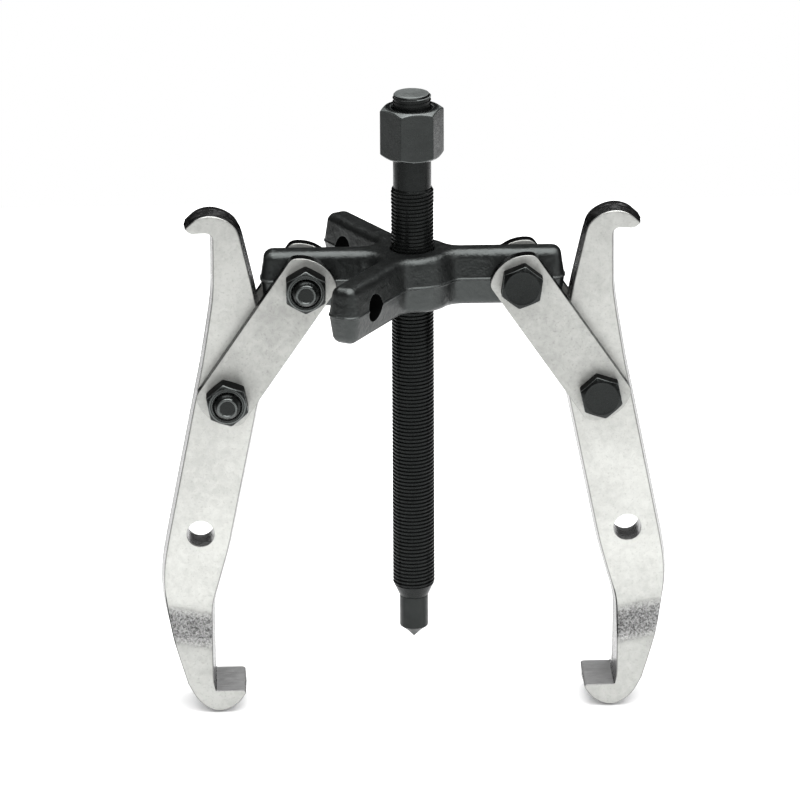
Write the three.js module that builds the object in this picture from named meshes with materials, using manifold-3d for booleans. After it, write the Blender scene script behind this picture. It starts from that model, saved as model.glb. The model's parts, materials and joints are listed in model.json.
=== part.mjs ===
// A two-jaw reversible gear puller: a black forged four-arm yoke, a black forcing screw
// with a swivel tip, and two plated jaws hung on pairs of flat links.
// Millimetres, +Z up. The screw is on the Z axis and the two hooks stand on z = 0.
import * as THREE from 'three';
import { mergeVertices } from 'three/addons/utils/BufferGeometryUtils.js';
import Module from 'manifold-3d';

const wasm = await Module();
wasm.setup();

// ---------------------------------------------------------------- driving dimensions

const INCH = 25.4;
const GAP = 0.3;                        // clearance kept between neighbouring pieces

const SCREW_RADIUS = (5 / 16) * INCH;   // 5/8 in, 18 threads per inch, drawn plain
const NECK_RADIUS = 6.95;
const STUB_RADIUS = 7.0;
const SCREW_SEGMENTS = 40;

const BOLT_RADIUS = (3 / 16) * INCH;    // 3/8 in bolts on all four pivots
const HOLE_RADIUS = 5.1;
const HOLE_SEGMENTS = 24;
const SMALL_HEX = (9 / 16) * INCH;      // across the flats of the 3/8 in bolts and nuts
const BOLT_HEAD_HEIGHT = 6.2;
const NUT_HEIGHT = 8.3;
const BOLT_PROTRUSION = 2.5;

const DRIVE_HEX = (13 / 16) * INCH;     // across the flats of the hex on top of the screw
const DRIVE_HEX_TURN = 8.5;             // degrees, how the hex is turned at rest

const ARM_ANGLES = [0, 120, 180, 240];  // two opposite arms in use, two spare
const ARM_REACH = 56;
const ARM_HALF_WIDTH = 6.4;
const ARM_CORNER = 3.2;
const YOKE_HEIGHT = 21.2;
const YOKE_DRAFT = 2.0;                 // how far the sides fall back from the parting line
const PARTING_BAND = 1.0;
const HUB_RADIUS = 16.5;
const HUB_FILLET = 5;
const PIVOT_REACH = 39.4;               // the bolt holes' distance from the screw's axis

const LINK_LENGTH = 52;                 // between the two bolt holes
const LINK_HALF_WIDTH = 10.2;
const LINK_THICKNESS = 4.8;
const LINK_END_RADIUS = 14;
const LINK_END_REACH = 10;              // from the hole's centre to the end of the link

const JAW_HALF_THICKNESS = 6.35;
const HOOK_HALF_WIDTH = 12;
const SPARE_HOLE_DROP = 56;
const RAMP_START = 86;                  // below the jaw's pivot, where the hook widens
const RAMP_END = 99;
const HOOK_TIP = [-28.7, -112.05];       // x and z from the jaw's pivot
const GRIP_LENGTH = 12.3;

const LINK_ANGLE = 34.2;                // degrees outward from straight down, at rest
const JAW_ANGLE = 11.1;

// Degrees that each bolt and its nut are turned from standing on a corner, seen from the
// front and counted anticlockwise.
const HEX_TURNS = { left_upper: 0, left_lower: 11, right_upper: -8, right_lower: 12 };

// Heights of the forcing screw's features above the floor.
const TIP_POINT = 25.1;
const TIP_INNER_CONE = 27.9;
const TIP_SHOULDER = 29.8;
const TIP_TOP = 42.0;
const TAPER_TOP = 47.5;
const THREAD_TOP = 201.7;
const HEX_BOTTOM = 213.3;
const HEX_TOP = HEX_BOTTOM + 19.05;
const SCREW_TOP = 237.3;

const LINK_INNER_FACE = ARM_HALF_WIDTH + GAP;
const LINK_OUTER_FACE = LINK_INNER_FACE + LINK_THICKNESS;
const CLAMP_FACE = LINK_OUTER_FACE + GAP;       // where bolt heads and nuts begin

// ---------------------------------------------------------------- materials

const finish = (color, roughness, metalness) => ({ color, roughness, metalness });
const PLATED = finish('#c9c9c4', 0.34, 1.0);
const BLACK_FORGING = finish('#2b2b2b', 0.5, 0.6);
const BLACK_SCREW = finish('#181818', 0.35, 0.7);
const BLACK_HEX = finish('#333333', 0.4, 0.7);
const BEARING_STEEL = finish('#b4b6b8', 0.2, 1.0);

// ---------------------------------------------------------------- helpers

const radians = THREE.MathUtils.degToRad;

/** A closed three.js geometry as a manifold solid. */
function solid(geometry) {
  geometry.deleteAttribute('normal');
  geometry.deleteAttribute('uv');
  const merged = mergeVertices(geometry, 1e-4);
  return new wasm.Manifold(new wasm.Mesh({
    numProp: 3,
    vertProperties: new Float32Array(merged.attributes.position.array),
    triVerts: new Uint32Array(merged.index.array),
  }));
}

/** A manifold solid as a three.js geometry. */
function geometryOf(body) {
  const mesh = body.getMesh();
  const geometry = new THREE.BufferGeometry();
  geometry.setAttribute('position', new THREE.BufferAttribute(mesh.vertProperties, 3));
  geometry.setIndex(new THREE.BufferAttribute(mesh.triVerts, 1));
  return geometry;
}

/** A named mesh with a material of its own. */
function piece(name, geometry, look) {
  const mesh = new THREE.Mesh(geometry, new THREE.MeshStandardMaterial(look));
  mesh.name = name;
  return mesh;
}

/** A shape drawn in the XZ plane, as thick along Y as asked and centred on y = 0. */
function slab(shape, thickness, curveSegments = 4) {
  const geometry = new THREE.ExtrudeGeometry(shape, {
    depth: thickness, bevelEnabled: false, curveSegments,
  });
  return geometry.rotateX(Math.PI / 2).translate(0, thickness / 2, 0);
}

/** A solid of revolution about Z, from [radius, height] pairs. */
function turned(profile, segments) {
  const points = profile.map(([radius, height]) => new THREE.Vector2(radius, height));
  return new THREE.LatheGeometry(points, segments).rotateX(Math.PI / 2);
}

/** A drill along Y through the point (x, 0, z). */
function drill(x, z, radius = HOLE_RADIUS, length = 60) {
  return solid(new THREE.CylinderGeometry(radius, radius, length, HOLE_SEGMENTS).translate(x, 0, z));
}

/** A hexagonal bar along Z from 0 to height, its corners cut back by a cone at chosen ends. */
function hexBar(acrossFlats, height, chamferedEnds) {
  const cornerRadius = acrossFlats / Math.sqrt(3);
  const bar = solid(new THREE.CylinderGeometry(cornerRadius, cornerRadius, height, 6)
    .rotateX(Math.PI / 2).translate(0, 0, height / 2));
  const faceRadius = acrossFlats * 0.48;
  const drop = (cornerRadius - faceRadius) * Math.tan(radians(30));
  const bottom = chamferedEnds.includes('bottom') ? faceRadius : cornerRadius + 1;
  const top = chamferedEnds.includes('top') ? faceRadius : cornerRadius + 1;
  const rim = cornerRadius + 1;
  const slope = drop * (rim - faceRadius) / (cornerRadius - faceRadius);
  const envelope = solid(turned([
    [0, 0], [bottom, 0], [rim, slope], [rim, height - slope], [top, height], [0, height],
  ], 24));
  return bar.intersect(envelope);
}

// ---------------------------------------------------------------- yoke

/** The yoke seen from above: a round hub with arms that blend into it. */
function yokeOutline() {
  const outline = new THREE.Shape();
  const filletAside = ARM_HALF_WIDTH + HUB_FILLET;
  const filletAlong = Math.sqrt((HUB_RADIUS + HUB_FILLET) ** 2 - filletAside ** 2);
  const filletSpread = Math.atan2(filletAside, filletAlong);
  const quarter = Math.PI / 2;

  const arc = (radius, direction, centreAngle, centreDistance, sweepTo, clockwise) => outline.absarc(
    centreDistance * Math.cos(centreAngle), centreDistance * Math.sin(centreAngle),
    radius, direction, sweepTo, clockwise);

  ARM_ANGLES.forEach((degrees, index) => {
    const arm = radians(degrees);
    const turn = index + 1 < ARM_ANGLES.length ? 0 : 360;
    const next = radians(ARM_ANGLES[(index + 1) % ARM_ANGLES.length] + turn);
    const along = ARM_REACH - ARM_CORNER;
    const aside = ARM_HALF_WIDTH - ARM_CORNER;
    const cornerSpread = Math.atan2(aside, along);
    const cornerDistance = Math.hypot(aside, along);
    arc(ARM_CORNER, arm - quarter, arm - cornerSpread, cornerDistance, arm, false);
    arc(ARM_CORNER, arm, arm + cornerSpread, cornerDistance, arm + quarter, false);
    if (next - arm < 2 * quarter - 1.5) {
      // Neighbouring arms close together meet in one hollow.
      const half = (next - arm) / 2;
      const distance = filletAside / Math.sin(half);
      arc(HUB_FILLET, arm - quarter, arm + half, distance, next + quarter, true);
    } else {
      // Arms further apart leave the round hub showing between two fillets.
      const first = arm + filletSpread;
      const second = next - filletSpread;
      const distance = HUB_RADIUS + HUB_FILLET;
      arc(HUB_FILLET, arm - quarter, first, distance, first + Math.PI, true);
      outline.absarc(0, 0, HUB_RADIUS, first, second, false);
      arc(HUB_FILLET, second + Math.PI, second, distance, next + quarter, true);
    }
  });
  outline.closePath();
  return outline;
}

/** The forging, centred on its parting line, with the screw's bore and the bolt holes. */
function yokeGeometry() {
  const draftedHalf = (YOKE_HEIGHT - PARTING_BAND) / 2;
  const forging = solid(new THREE.ExtrudeGeometry(yokeOutline(), {
    depth: PARTING_BAND,
    curveSegments: 3,
    bevelThickness: draftedHalf,
    bevelSize: YOKE_DRAFT,
    bevelOffset: -YOKE_DRAFT,
    bevelSegments: 3,
  }).translate(0, 0, -PARTING_BAND / 2));
  const boreRadius = SCREW_RADIUS + GAP + 0.05;
  const bore = solid(new THREE.CylinderGeometry(boreRadius, boreRadius, 40, SCREW_SEGMENTS)
    .rotateX(Math.PI / 2));
  const holes = ARM_ANGLES.map((degrees) => drill(PIVOT_REACH, 0, HOLE_RADIUS, 30)
    .rotate([0, 0, degrees]));
  return geometryOf(holes.reduce((body, hole) => body.subtract(hole), forging.subtract(bore)));
}

// ---------------------------------------------------------------- forcing screw and its tip

const SHANK_RADIUS = 3.2;
const SHANK_TOP = TIP_TOP + 12;
const GROOVE_BOTTOM = TIP_TOP + 7;
const GROOVE_TOP = GROOVE_BOTTOM + 1.9;
const SHANK_GROOVE_RADIUS = 2.3;
const RING_INNER_RADIUS = SHANK_GROOVE_RADIUS + GAP + 0.05;
const RING_OUTER_RADIUS = 4.1;
const BALL_RADIUS = 3.1;
const SOCKET_RADIUS = SHANK_RADIUS + GAP + 0.05;
const SOCKET_TOP = SHANK_TOP + GAP + 2 * BALL_RADIUS + GAP;

/** The plain screw: socket for the swivel tip below, then thread, neck and stub. */
function screwGeometry() {
  const bottom = TIP_TOP + GAP;
  const ringPocket = RING_OUTER_RADIUS + GAP + 0.05;
  return turned([
    [0, SOCKET_TOP + 1.5],
    [SOCKET_RADIUS, SOCKET_TOP],
    [SOCKET_RADIUS, GROOVE_TOP],
    [ringPocket, GROOVE_TOP],
    [ringPocket, GROOVE_BOTTOM],
    [SOCKET_RADIUS, GROOVE_BOTTOM],
    [SOCKET_RADIUS, bottom],
    [5.5, bottom],
    [SCREW_RADIUS, TAPER_TOP],
    [SCREW_RADIUS, THREAD_TOP - 1],
    [NECK_RADIUS, THREAD_TOP],
    [NECK_RADIUS, HEX_BOTTOM],
    [STUB_RADIUS, HEX_BOTTOM + 0.5],
    [STUB_RADIUS, SCREW_TOP - 1.2],
    [STUB_RADIUS - 1.2, SCREW_TOP],
    [0, SCREW_TOP],
  ], SCREW_SEGMENTS);
}

/** The pointed tip, with a grooved shank that reaches up into the screw. */
function tipGeometry() {
  return turned([
    [0, TIP_POINT],
    [2.8, TIP_INNER_CONE],
    [5.3, TIP_SHOULDER],
    [5.3, TIP_TOP],
    [SHANK_RADIUS, TIP_TOP],
    [SHANK_RADIUS, GROOVE_BOTTOM],
    [SHANK_GROOVE_RADIUS, GROOVE_BOTTOM],
    [SHANK_GROOVE_RADIUS, GROOVE_TOP],
    [SHANK_RADIUS, GROOVE_TOP],
    [SHANK_RADIUS, SHANK_TOP],
    [0, SHANK_TOP],
  ], 32);
}

/** The wire ring that keeps the tip in the screw. */
function ringGeometry() {
  const low = GROOVE_BOTTOM + GAP;
  const high = GROOVE_TOP - GAP;
  return turned([
    [RING_INNER_RADIUS, low],
    [RING_OUTER_RADIUS, low],
    [RING_OUTER_RADIUS, high],
    [RING_INNER_RADIUS, high],
    [RING_INNER_RADIUS, low],
  ], 28);
}

function ballGeometry() {
  const centre = SHANK_TOP + GAP + BALL_RADIUS;
  return new THREE.SphereGeometry(BALL_RADIUS, 20, 12).rotateX(Math.PI / 2).translate(0, 0, centre);
}

/** The hex on top of the screw that a wrench turns. */
function driveHexGeometry() {
  const height = HEX_TOP - HEX_BOTTOM - GAP;
  const boreRadius = STUB_RADIUS + GAP + 0.05;
  const bore = solid(new THREE.CylinderGeometry(boreRadius, boreRadius, 60, SCREW_SEGMENTS)
    .rotateX(Math.PI / 2));
  const hex = hexBar(DRIVE_HEX, height, ['bottom', 'top']).subtract(bore)
    .rotate([0, 0, 90 + DRIVE_HEX_TURN]);
  return geometryOf(hex).translate(0, 0, HEX_BOTTOM);
}

// ---------------------------------------------------------------- link, bolt and nut

/** A flat link that hangs from the upper hole at (0, 0); its ends are shallow arcs. */
function linkGeometry() {
  const arcDrop = LINK_END_REACH - LINK_END_RADIUS;
  const spread = Math.asin(LINK_HALF_WIDTH / LINK_END_RADIUS);
  const up = Math.PI / 2;
  const outline = new THREE.Shape();
  outline.absarc(0, arcDrop, LINK_END_RADIUS, up - spread, up + spread, false);
  outline.absarc(0, -LINK_LENGTH - arcDrop, LINK_END_RADIUS, -up - spread, -up + spread, false);
  outline.closePath();
  const plate = solid(slab(outline, LINK_THICKNESS));
  return geometryOf(plate.subtract(drill(0, 0)).subtract(drill(0, -LINK_LENGTH)));
}

/** A bolt along Y, its head in front of the front link and its end past the rear nut. */
function boltGeometry() {
  const end = CLAMP_FACE + NUT_HEIGHT + BOLT_PROTRUSION;
  const length = end + CLAMP_FACE;
  const head = hexBar(SMALL_HEX, BOLT_HEAD_HEIGHT, ['bottom']);
  const shank = solid(turned([
    [0, BOLT_HEAD_HEIGHT - 1],
    [BOLT_RADIUS, BOLT_HEAD_HEIGHT - 1],
    [BOLT_RADIUS, BOLT_HEAD_HEIGHT + length - 0.9],
    [BOLT_RADIUS - 0.9, BOLT_HEAD_HEIGHT + length],
    [0, BOLT_HEAD_HEIGHT + length],
  ], HOLE_SEGMENTS));
  return geometryOf(head.add(shank)).rotateX(-Math.PI / 2)
    .translate(0, -CLAMP_FACE - BOLT_HEAD_HEIGHT, 0);
}

function nutGeometry() {
  const bore = solid(new THREE.CylinderGeometry(HOLE_RADIUS, HOLE_RADIUS, 40, HOLE_SEGMENTS)
    .rotateX(Math.PI / 2));
  const nut = hexBar(SMALL_HEX, NUT_HEIGHT, ['bottom', 'top']).subtract(bore);
  return geometryOf(nut).rotateX(-Math.PI / 2).translate(0, CLAMP_FACE, 0);
}

// ---------------------------------------------------------------- jaw

/**
 * The jaw seen from the front, as a right-hand one: x points away from the screw and z up,
 * from the pivot hole. It has a narrow outward hook on top and a wide inward hook below.
 */
function jawOutline() {
  const at = (x, z) => new THREE.Vector2(x, z);
  const outline = new THREE.Shape();
  outline.moveTo(17.0, 58.9);
  outline.splineThru([at(14.4, 45), at(12.8, 34), at(12.0, 12), at(12.0, 0)]);
  outline.lineTo(12.2, -60);
  outline.splineThru([at(11.7, -72), at(9.2, -84), at(3.2, -98.5), at(-5.0, -114.6)]);
  outline.splineThru([at(-10.0, -120.3), at(-14.9, -122.9), at(-18.6, -123.4),
    at(-23.0, -121.7), at(-26.8, -117.8), at(...HOOK_TIP)]);
  // The gripping face is level when the jaw hangs at its rest angle.
  const [tipX, tipZ] = HOOK_TIP;
  outline.lineTo(tipX + GRIP_LENGTH, tipZ - GRIP_LENGTH * Math.tan(radians(JAW_ANGLE)));
  outline.lineTo(-10.2, -83.3);
  outline.lineTo(-12.1, -60);
  outline.lineTo(-12.5, 0);
  outline.splineThru([at(-11.9, 12), at(-8.8, 26), at(-3.6, 39.9), at(3.8, 57)]);
  outline.splineThru([at(7.2, 63.6), at(12.3, 66.7), at(18.6, 67.2), at(24, 64.6), at(27.3, 59.6)]);
  outline.lineTo(24.9, 57.7);
  outline.closePath();
  return outline;
}

/** The jaw seen from its side: a flat bar that widens into the lower hook. */
function jawSideOutline() {
  const top = 75;
  const bottom = -135;
  const side = new THREE.Shape();
  side.moveTo(-JAW_HALF_THICKNESS, top);
  [-1, 1].forEach((hand) => {
    const heights = [-RAMP_START, -RAMP_END, bottom];
    const widths = [JAW_HALF_THICKNESS, HOOK_HALF_WIDTH, HOOK_HALF_WIDTH];
    const order = hand < 0 ? [0, 1, 2] : [2, 1, 0];
    order.forEach((i) => side.lineTo(hand * widths[i], heights[i]));
  });
  side.lineTo(JAW_HALF_THICKNESS, top);
  side.closePath();
  return side;
}

function jawGeometry() {
  const front = solid(slab(jawOutline(), 2 * HOOK_HALF_WIDTH + 2, 2));
  const side = solid(slab(jawSideOutline(), 120).rotateZ(Math.PI / 2));
  const blank = front.intersect(side);
  return geometryOf(blank.subtract(drill(0, 0)).subtract(drill(0, -SPARE_HOLE_DROP)));
}

/** How far the lowest point of the tilted jaw is below its pivot. */
function hookDrop() {
  const tilt = radians(JAW_ANGLE);
  const points = jawOutline().getPoints(2);
  return Math.max(...points.map((p) => -p.y * Math.cos(tilt) - p.x * Math.sin(tilt)));
}

// ---------------------------------------------------------------- assembly

const PIVOT_HEIGHT = LINK_LENGTH * Math.cos(radians(LINK_ANGLE)) + hookDrop();

/** One jaw with its links and bolts, built for the right; the left is turned round the screw. */
function jawSide(side, turn) {
  const group = new THREE.Group();
  group.rotation.z = turn;

  const links = new THREE.Group();
  links.position.set(PIVOT_REACH, 0, PIVOT_HEIGHT);
  links.rotation.y = -radians(LINK_ANGLE);
  const plateCentre = (LINK_INNER_FACE + LINK_OUTER_FACE) / 2;
  const frontSign = turn === 0 ? -1 : 1;
  [['front', frontSign], ['rear', -frontSign]].forEach(([where, sign]) => {
    const link = piece(`${side}_${where}_link`, linkGeometry(), PLATED);
    link.position.y = sign * plateCentre;
    links.add(link);
  });
  [['upper', 0], ['lower', -LINK_LENGTH]].forEach(([level, drop]) => {
    const bolt = piece(`${side}_${level}_bolt`, boltGeometry(), BLACK_HEX);
    const nut = piece(`${side}_${level}_nut`, nutGeometry(), BLACK_HEX);
    const hexTurn = radians(frontSign * HEX_TURNS[`${side}_${level}`]);
    [bolt, nut].forEach((fastener) => {
      fastener.position.z = drop;
      fastener.rotation.y = radians(LINK_ANGLE) + hexTurn;
      links.add(fastener);
    });
  });

  const jaw = piece(`${side}_jaw`, jawGeometry(), PLATED);
  jaw.position.set(0, 0, -LINK_LENGTH);
  jaw.rotation.y = radians(LINK_ANGLE - JAW_ANGLE);
  links.add(jaw);

  group.add(links);
  return group;
}

const puller = new THREE.Group();
puller.name = 'gear_puller';

const yoke = piece('yoke', yokeGeometry(), BLACK_FORGING);
yoke.position.z = PIVOT_HEIGHT;
puller.add(yoke);
puller.add(piece('forcing_screw', screwGeometry(), BLACK_SCREW));
puller.add(piece('drive_hex_nut', driveHexGeometry(), BLACK_HEX));
puller.add(piece('swivel_tip', tipGeometry(), BLACK_HEX));
puller.add(piece('tip_retaining_ring', ringGeometry(), BEARING_STEEL));
puller.add(piece('thrust_ball', ballGeometry(), BEARING_STEEL));
puller.add(jawSide('right', 0));
puller.add(jawSide('left', Math.PI));

export default puller;
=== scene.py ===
"""The looks of a two-jaw reversible gear puller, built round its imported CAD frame.

The puller's lengths are in millimetres until a mesh is made. Meshes, materials, the
floor and the lights are in metres. The left side is the right one turned round the screw.
"""

import json
import math

import bmesh
import bpy
import numpy as np
from mathutils import Matrix, Vector
from mathutils.geometry import delaunay_2d_cdt

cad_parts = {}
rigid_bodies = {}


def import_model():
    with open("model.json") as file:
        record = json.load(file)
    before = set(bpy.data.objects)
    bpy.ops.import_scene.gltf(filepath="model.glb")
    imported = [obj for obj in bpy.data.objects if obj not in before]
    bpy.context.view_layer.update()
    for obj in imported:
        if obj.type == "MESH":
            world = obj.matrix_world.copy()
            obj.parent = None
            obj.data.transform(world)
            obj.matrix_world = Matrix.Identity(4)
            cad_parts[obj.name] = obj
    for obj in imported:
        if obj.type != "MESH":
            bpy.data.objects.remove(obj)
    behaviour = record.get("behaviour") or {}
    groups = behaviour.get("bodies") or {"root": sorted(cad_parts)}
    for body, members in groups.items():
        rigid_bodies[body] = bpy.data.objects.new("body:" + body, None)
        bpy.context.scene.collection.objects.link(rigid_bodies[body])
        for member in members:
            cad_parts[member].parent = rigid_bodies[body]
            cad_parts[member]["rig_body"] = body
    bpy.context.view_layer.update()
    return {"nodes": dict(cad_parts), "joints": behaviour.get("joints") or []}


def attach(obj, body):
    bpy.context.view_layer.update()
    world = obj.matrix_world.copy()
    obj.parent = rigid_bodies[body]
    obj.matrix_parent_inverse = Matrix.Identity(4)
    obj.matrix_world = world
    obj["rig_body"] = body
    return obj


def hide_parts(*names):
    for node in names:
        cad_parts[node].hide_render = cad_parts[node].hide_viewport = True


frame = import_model()

MM = 0.001
INCH = 25.4
GAP = 0.3
BORE_CLEARANCE = 0.12
THREAD_DEPTH = 0.6134  # times the pitch

# -------------------- dimensions

SCREW_RADIUS = (5 / 16) * INCH
SCREW_PITCH = INCH / 18
NECK_RADIUS = 6.95
STUB_RADIUS = 7.0
BOLT_RADIUS = (3 / 16) * INCH
BOLT_PITCH = INCH / 16
HOLE_RADIUS = 5.1
SMALL_HEX = (9 / 16) * INCH
BOLT_HEAD_HEIGHT = 6.2
NUT_HEIGHT = 8.3
BOLT_PROTRUSION = 2.5
DRIVE_HEX = (13 / 16) * INCH
DRIVE_HEX_HEIGHT = 19.05
DRIVE_HEX_TURN = 8.5

ARM_ANGLES = [0, 120, 180, 240]
ARM_REACH = 56
ARM_HALF_WIDTH = 6.4
ARM_CORNER = 5.0
YOKE_HEIGHT = 21.2
HUB_RADIUS = 16.5
HUB_FILLET = 5

LINK_LENGTH = 52
LINK_HALF_WIDTH = 10.2
LINK_THICKNESS = 4.8
LINK_END_RADIUS = 14
LINK_END_REACH = 10
LINK_INNER_FACE = ARM_HALF_WIDTH + GAP
CLAMP_FACE = LINK_INNER_FACE + LINK_THICKNESS + GAP

JAW_HALF_THICKNESS = 6.35
HOOK_HALF_WIDTH = 12
SPARE_HOLE_DROP = 56
RAMP_START = 86
RAMP_END = 99
RAMP_BLEND = 1
HOOK_TIP = (-28.7, -112.05)
GRIP_LENGTH = 12.3
UPPER_TIP = (27.3, 59.6)
HOOK_LIP = (24.1, 57.75)
UPPER_ELBOW = (17.0, 58.9)
OUTER_BEND = (12.2, -60)
INNER_BEND = (-12.1, -60)
INNER_LOWER_BEND = (-10.2, -83.3)
JAW_ANGLE = 11.1
GRIP_INNER = (HOOK_TIP[0] + GRIP_LENGTH,
              HOOK_TIP[1] - GRIP_LENGTH * math.tan(math.radians(JAW_ANGLE)))

HEX_TURNS = {"left_upper": 0, "left_lower": 11, "right_upper": -8, "right_lower": 12}

TIP_POINT = 25.1
TIP_INNER_CONE = 27.9
TIP_SHOULDER = 29.8
TIP_TOP = 42.0
TAPER_TOP = 47.5
THREAD_TOP = 201.7
HEX_BOTTOM = 213.3
HEX_TOP = HEX_BOTTOM + DRIVE_HEX_HEIGHT - GAP
SCREW_TOP = 237.3

JOINTS = {joint["name"]: joint for joint in frame["joints"]}
LINK_PIVOT = Vector(JOINTS["right_link_swing"]["pos_m"]) / MM
JAW_PIVOT = Vector(JOINTS["right_jaw_swing"]["pos_m"]) / MM
PIVOT_REACH = LINK_PIVOT.x
PIVOT_HEIGHT = LINK_PIVOT.z
LINK_ANGLE = math.degrees(math.atan2(JAW_PIVOT.x - LINK_PIVOT.x, LINK_PIVOT.z - JAW_PIVOT.z))

# -------------------- camera

VIEW_AZIMUTH = -1.95
VIEW_ELEVATION = 19.91
VIEW_ROLL = -0.306
VIEW_DISTANCE = 1928
VIEW_POINT = Vector((0, 0, 110))
VIEW_LENS = 234.2
AIM_LEFT = 4.85
AIM_UP = 8.51


def make_camera():
    """A long lens from the front and a little above."""
    azimuth, elevation = math.radians(VIEW_AZIMUTH), math.radians(VIEW_ELEVATION)
    back = Vector((
        math.sin(azimuth) * math.cos(elevation),
        -math.cos(azimuth) * math.cos(elevation),
        math.sin(elevation),
    ))
    right = Vector((math.cos(azimuth), math.sin(azimuth), 0))
    up = back.cross(right)
    place = VIEW_POINT + back * VIEW_DISTANCE
    aim = VIEW_POINT - right * AIM_LEFT + up * AIM_UP
    lens = bpy.data.cameras.new("camera")
    lens.lens = VIEW_LENS
    lens.sensor_width = 36
    lens.clip_start = 0.05
    lens.clip_end = 50
    camera = bpy.data.objects.new("camera", lens)
    bpy.context.scene.collection.objects.link(camera)
    look = (aim - place).to_track_quat("-Z", "Y").to_matrix().to_4x4()
    roll = Matrix.Rotation(math.radians(VIEW_ROLL), 4, "Z")
    camera.matrix_world = Matrix.Translation(place * MM) @ look @ roll
    bpy.context.scene.camera = camera


make_camera()

# -------------------- materials


class Nodes:
    """Short calls for building one node tree."""

    def __init__(self, tree):
        self.tree = tree
        self.tree.nodes.clear()
        self.coordinates = None
        self.normal = None

    def add(self, kind, inputs=None, **settings):
        node = self.tree.nodes.new(kind)
        for name, value in settings.items():
            setattr(node, name, value)
        for name, value in (inputs or {}).items():
            if isinstance(value, bpy.types.NodeSocket):
                self.tree.links.new(value, node.inputs[name])
            else:
                node.inputs[name].default_value = value
        return node

    def place(self):
        """Object coordinates, so that the grain stays with the piece as it moves."""
        if self.coordinates is None:
            self.coordinates = self.add("ShaderNodeTexCoord").outputs["Object"]
        return self.coordinates

    def facing(self):
        """X, Y and Z of the surface's direction in the piece's own space."""
        if self.normal is None:
            direction = self.add("ShaderNodeTexCoord").outputs["Normal"]
            self.normal = self.add("ShaderNodeSeparateXYZ", {"Vector": direction}).outputs
        return self.normal

    def height(self):
        """Metres above the floor at rest, which stays with the piece as it moves."""
        return self.add("ShaderNodeSeparateXYZ", {"Vector": self.place()}).outputs["Z"]

    def noise(self, scale, detail, roughness=0.55, distortion=0.0, stretch=None):
        vector = self.place()
        if stretch:
            mapping = self.add("ShaderNodeMapping", {"Vector": vector, "Scale": stretch})
            vector = mapping.outputs["Vector"]
        node = self.add("ShaderNodeTexNoise", {
            "Vector": vector,
            "Scale": scale,
            "Detail": detail,
            "Roughness": roughness,
            "Distortion": distortion,
        })
        return node.outputs["Fac"]

    def ramp(self, value, low, high, start=0.0, end=1.0):
        """Value from low..high mapped to start..end, clamped."""
        node = self.add("ShaderNodeMapRange", {
            "Value": value,
            "From Min": low,
            "From Max": high,
            "To Min": start,
            "To Max": end,
        })
        return node.outputs["Result"]

    def mix(self, share, first, second):
        node = self.add("ShaderNodeMix", data_type="RGBA")
        for name, value in (("Factor", share), ("A", first), ("B", second)):
            socket = next(s for s in node.inputs if s.name == name and s.enabled)
            if isinstance(value, bpy.types.NodeSocket):
                self.tree.links.new(value, socket)
            else:
                socket.default_value = value
        return next(s for s in node.outputs if s.enabled)

    def math(self, operation, first, second=0.0):
        """One sum of two numbers or sockets."""
        node = self.add("ShaderNodeMath", operation=operation)
        for index, value in enumerate((first, second)):
            if isinstance(value, bpy.types.NodeSocket):
                self.tree.links.new(value, node.inputs[index])
            else:
                node.inputs[index].default_value = value
        return node.outputs[0]

    def times(self, first, second):
        return self.math("MULTIPLY", first, second)

    def plus(self, first, second):
        return self.math("ADD", first, second)

    def minus(self, first, second):
        return self.math("SUBTRACT", first, second)

    def size(self, value):
        return self.math("ABSOLUTE", value)

    def bump(self, height, depth, strength, before=None):
        """The normal over a height; depth in metres, on top of the normal before it."""
        inputs = {"Height": height, "Distance": depth, "Strength": strength}
        if before is not None:
            inputs["Normal"] = before
        return self.add("ShaderNodeBump", inputs).outputs["Normal"]

    def edges(self, low, high):
        """Near 1 on outer edges and 0 on flats, from the mesh's own curvature."""
        pointiness = self.add("ShaderNodeNewGeometry").outputs["Pointiness"]
        return self.ramp(pointiness, low, high)

    def surface(self, shader):
        self.add("ShaderNodeOutputMaterial", {"Surface": shader.outputs[0]})


def grey(level):
    return (level, level, level, 1.0)


def silver(level):
    """The plating's grey, with a trace of yellow-green."""
    return (level * 0.99, level, level * 0.955, 1.0)


def black(level):
    """The blacking's grey, with a trace of blue-green."""
    return (level * 0.93, level, level * 0.98, 1.0)


def new_material(name):
    material = bpy.data.materials.new(name)
    material.use_nodes = True
    return material, Nodes(material.node_tree)


PLATING_ROUGHNESS = 0.40

# Heights above the floor at rest, in metres, between which a jaw's surface changes.
GRIP_FACE_TOP = (0.0135, 0.0145)
LEFT_SHADE_BOTTOM = (0.026, 0.029)
SHADED_FOOT_TOP = (0.034, 0.046)
RAMP_TOP = (0.044, 0.048)
SPARE_HOLE_BOTTOM = (0.05, 0.055)
SPARE_HOLE_TOP = (0.09, 0.095)
SHADED_BAR_BOTTOM = (0.135, 0.18)


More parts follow.
